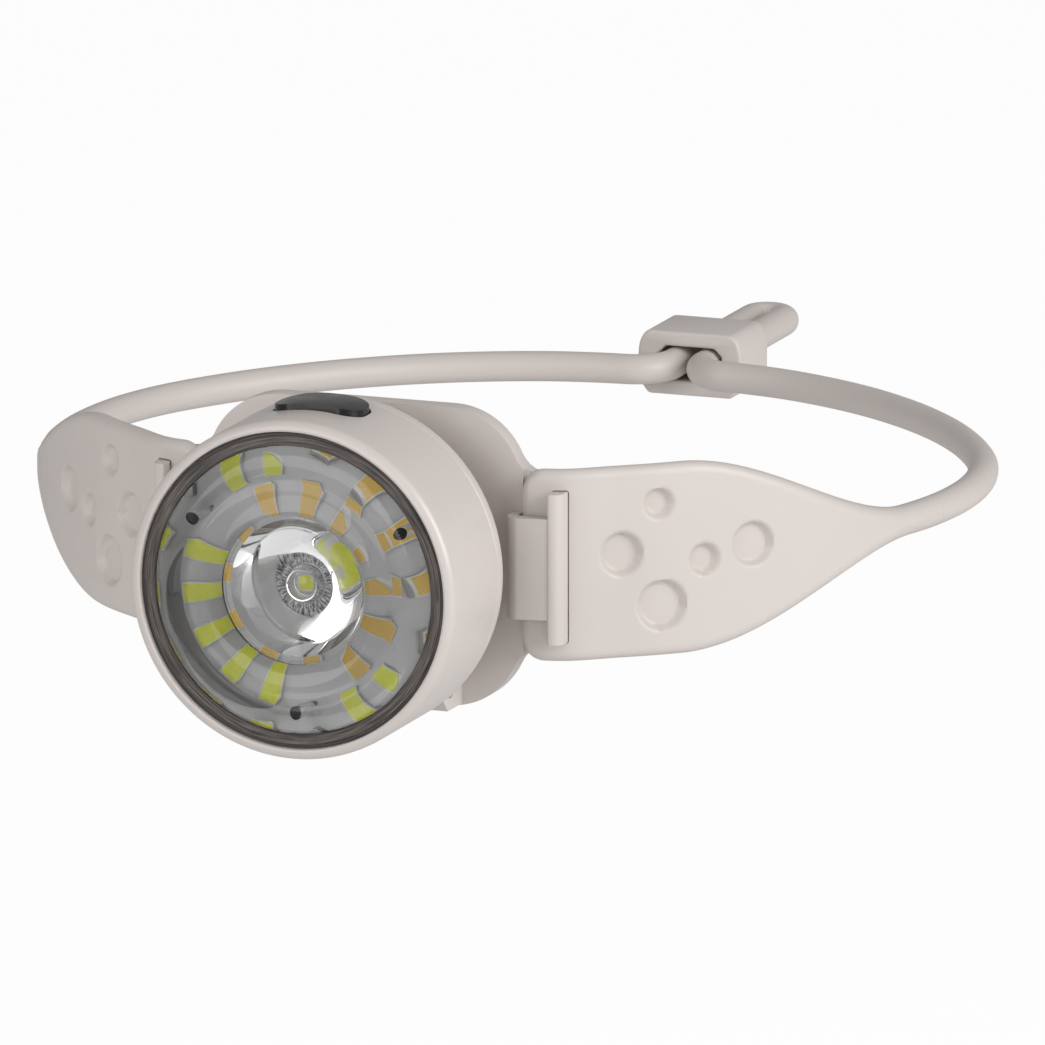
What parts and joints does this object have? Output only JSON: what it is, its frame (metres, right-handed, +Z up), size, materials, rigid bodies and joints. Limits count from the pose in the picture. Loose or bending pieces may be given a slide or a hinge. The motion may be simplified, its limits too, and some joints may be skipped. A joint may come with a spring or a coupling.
{
  "type": "headlamp",
  "caption": "Rechargeable headlamp: round lamp head with a stepped lens on a tilting forehead plate, push button, and a one-piece silicone head band with a sliding cord lock.",
  "frame": {"origin": "centre of the pad's face that lies on the forehead", "axes": "+Y from the forehead back round the head, -Y the way the lamp shines, +Z up with the button on top, +X to the side away from the charging port"},
  "size_m": [0.1322, 0.1901, 0.0472],
  "materials": {
    "plate_sand": "fine matte moulded, sand grey",
    "pad_silicone": "soft matte silicone",
    "steel": "plain ground",
    "shell_sand": "satin painted, sand grey",
    "seal_rubber": "matte black",
    "lens_clear": "clear polished polycarbonate",
    "gasket_brown": "dark, finely ringed",
    "seat_black": "black with a fine radial grain",
    "board_white": "white solder mask on an aluminium core",
    "led_cool": "yellow phosphor",
    "led_warm": "amber phosphor",
    "spreader": "bare rolled",
    "board_green": "green solder mask",
    "chip_black": "moulded black",
    "cell_foil": "foil pouch",
    "foam_grey": "adhesive foam",
    "socket_steel": "tin plated",
    "cover_sand": "matte silicone, sand grey",
    "switch_black": "moulded black",
    "plunger_white": "moulded white",
    "button_black": "polished black",
    "band_sand": "matte silicone, sand grey",
    "lock_sand": "fine matte moulded, sand grey"
  },
  "bodies": {
    "holder": {"holder_plate": "plate_sand", "forehead_pad": "pad_silicone", "hinge_pin": "steel", "band_paddle_right": "band_sand", "band_paddle_left": "band_sand", "band_cord": "band_sand"},
    "lamp": {"rear_shell": "shell_sand", "front_shell": "shell_sand", "shell_seal": "seal_rubber", "shell_screws": "steel", "lens": "lens_clear", "lens_gasket": "gasket_brown", "spot_lens_seat": "seat_black", "led_board": "board_white", "cool_leds": "led_cool", "warm_leds": "led_warm", "spot_led": "led_cool", "heat_spreader": "spreader", "driver_board": "board_green", "driver_chips": "chip_black", "cell": "cell_foil", "cell_foam": "foam_grey", "charging_socket": "socket_steel", "switch_case": "switch_black"},
    "button": {"button_cap": "button_black", "switch_plunger": "plunger_white"},
    "port_flap": {"port_cover": "cover_sand"},
    "lock": {"cord_lock": "lock_sand"}
  },
  "joints": [
    {"name": "lamp_tilt", "type": "hinge", "parent": "holder", "child": "lamp", "pos_m": [0, -0.0076, -0.0175], "axis": [1, 0, 0], "range_deg": [0, 60]},
    {"name": "button_press", "type": "slide", "parent": "lamp", "child": "button", "axis": [0, 0, -1], "range_m": [0, 0.0007], "stiffness_N_per_m": 2500, "springref_m": -0.0003},
    {"name": "port_cover_flap", "type": "hinge", "parent": "lamp", "child": "port_flap", "pos_m": [-0.0232, -0.0148, 0], "axis": [0, 0, -1], "range_deg": [0, 100]},
    {"name": "cord_lock_slide", "type": "slide", "parent": "holder", "child": "lock", "axis": [0, 1, 0], "range_m": [0, 0.014]}
  ]
}
